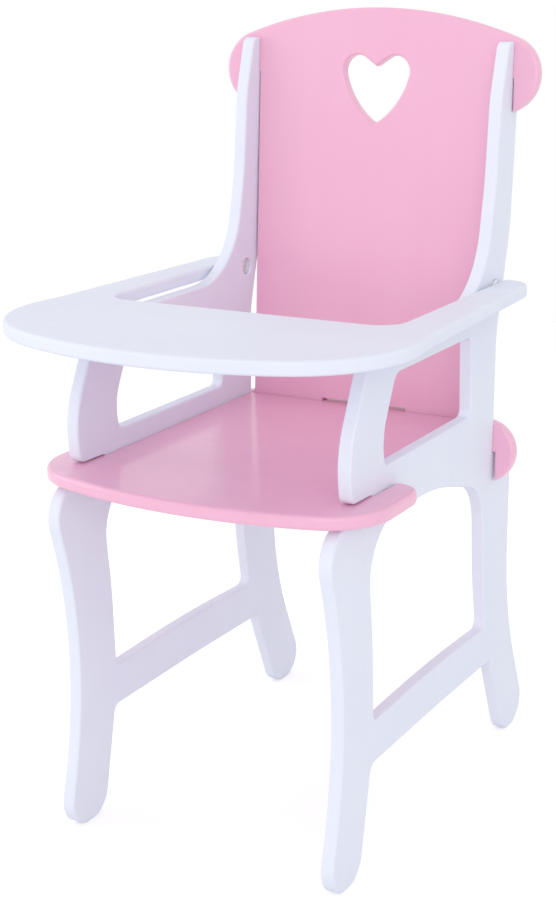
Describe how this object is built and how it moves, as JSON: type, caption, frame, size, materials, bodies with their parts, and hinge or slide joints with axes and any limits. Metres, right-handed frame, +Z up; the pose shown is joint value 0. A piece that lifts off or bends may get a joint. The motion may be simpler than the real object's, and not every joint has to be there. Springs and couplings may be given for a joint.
{
  "type": "doll high chair",
  "caption": "Toy high chair of painted boards slotted together, with heart cut-out in the backrest, seat and a U-shaped tray on arms that swings up on two pivots.",
  "frame": {"origin": "on the floor, at the centre of the chair's bounding box seen from above, with the tray down", "axes": "+Z up; the chair faces -Y, with the tray at -Y and the backrest at +Y; X runs across, with the panel called left at -X as seen by someone who faces the chair"},
  "size_m": [0.268, 0.3631, 0.5196],
  "materials": {
    "white_paint": "fine-fibred board with satin off-white paint",
    "pink_paint": "fine-fibred board with satin pink paint",
    "nylon": "turned white nylon",
    "zinc": "zinc-plated steel"
  },
  "bodies": {
    "frame": {"left_side_panel": "white_paint", "right_side_panel": "white_paint", "backrest": "pink_paint", "seat": "pink_paint"},
    "tray": {"tray": "white_paint", "left_pivot_bush": "nylon", "right_pivot_bush": "nylon", "left_pivot_screw": "zinc", "right_pivot_screw": "zinc", "left_arm_insert": "zinc", "right_arm_insert": "zinc"}
  },
  "joints": [
    {"name": "tray_hinge", "type": "hinge", "parent": "frame", "child": "tray", "pos_m": [0, 0.10846, 0.3392], "axis": [-1, 0, 0], "range_deg": [0, 90]}
  ]
}
